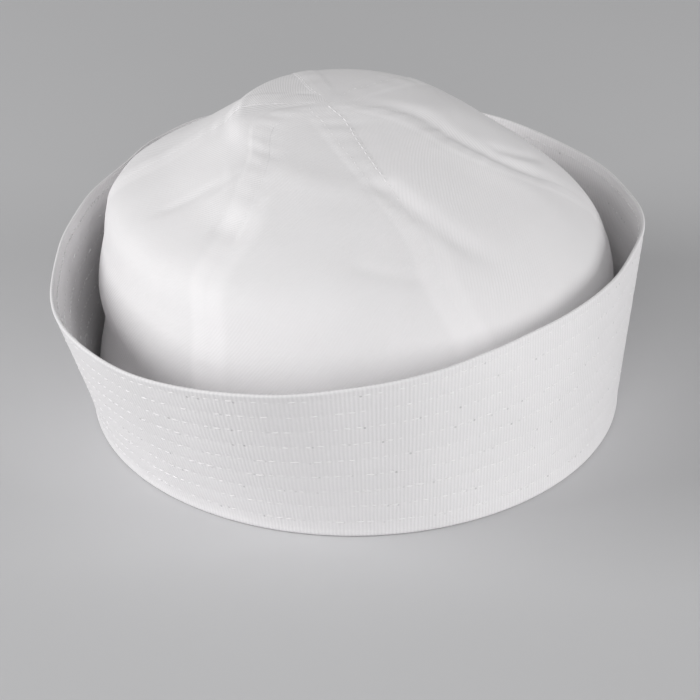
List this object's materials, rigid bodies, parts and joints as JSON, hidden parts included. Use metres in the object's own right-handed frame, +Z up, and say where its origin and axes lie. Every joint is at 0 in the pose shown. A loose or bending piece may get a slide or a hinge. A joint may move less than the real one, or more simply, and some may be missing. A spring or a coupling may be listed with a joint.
{
  "type": "sailor cap",
  "caption": "White cotton sailor cap: a soft domed crown sewn from gores, open below for the head, with a tall stitched brim turned up and flaring outward round it.",
  "frame": {"origin": "middle of the cap's box, on the surface that the brim's fold stands on", "axes": "+Z up to the crown's top, -Y to the front of the cap, +X to the right as seen from the front"},
  "size_m": [0.1988, 0.2362, 0.1061],
  "materials": {
    "crown_twill": "white cotton twill, matt, with a fine diagonal weave",
    "brim_cotton": "white cotton of two plies, matt, with upright ribs and rows of white stitching"
  },
  "bodies": {
    "root": {"brim": "brim_cotton", "gore_front_right": "crown_twill", "gore_back_right": "crown_twill", "gore_back": "crown_twill", "gore_back_left": "crown_twill", "gore_front_left": "crown_twill", "gore_front": "crown_twill"}
  },
  "joints": []
}
